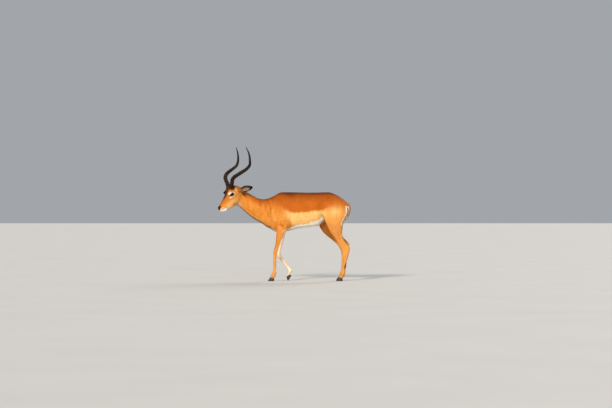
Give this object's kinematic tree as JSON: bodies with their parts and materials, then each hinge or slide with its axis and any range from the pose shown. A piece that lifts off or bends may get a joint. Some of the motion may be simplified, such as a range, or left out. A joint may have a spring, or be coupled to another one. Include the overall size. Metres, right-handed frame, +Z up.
{
  "type": "impala antelope",
  "caption": "Standing adult male impala with lyre-shaped ringed horns, head turned slightly to its left, as a still life-size museum model.",
  "frame": {"origin": "middle of the bounding box at floor level", "axes": "-X is the way the body faces, -Y is the animal's left, +Z is up; the head is turned 30 degrees toward -Y"},
  "size_m": [1.3438, 0.3588, 1.359],
  "materials": {
    "coat": "short, sleek, slightly glossy reddish-tan hair, with a darker saddle, pale flanks, white belly and throat patch and black marks",
    "eye": "wet, glossy, near black",
    "horn": "satin dark brown horn, ringed, smoother and blacker at the tips",
    "hoof": "satin black horn, worn at the edge"
  },
  "bodies": {
    "root": {"head": "coat", "neck": "coat", "trunk": "coat", "tail": "coat", "leg_front_left": "coat", "leg_front_right": "coat", "leg_hind_left": "coat", "leg_hind_right": "coat", "ear_left": "coat", "ear_right": "coat", "eye_left": "eye", "eye_right": "eye", "horn_left": "horn", "horn_right": "horn", "hoof_front_left_outer": "hoof", "hoof_front_left_inner": "hoof", "hoof_front_right_outer": "hoof", "hoof_front_right_inner": "hoof", "hoof_hind_left_outer": "hoof", "hoof_hind_left_inner": "hoof", "hoof_hind_right_outer": "hoof", "hoof_hind_right_inner": "hoof"}
  },
  "joints": []
}
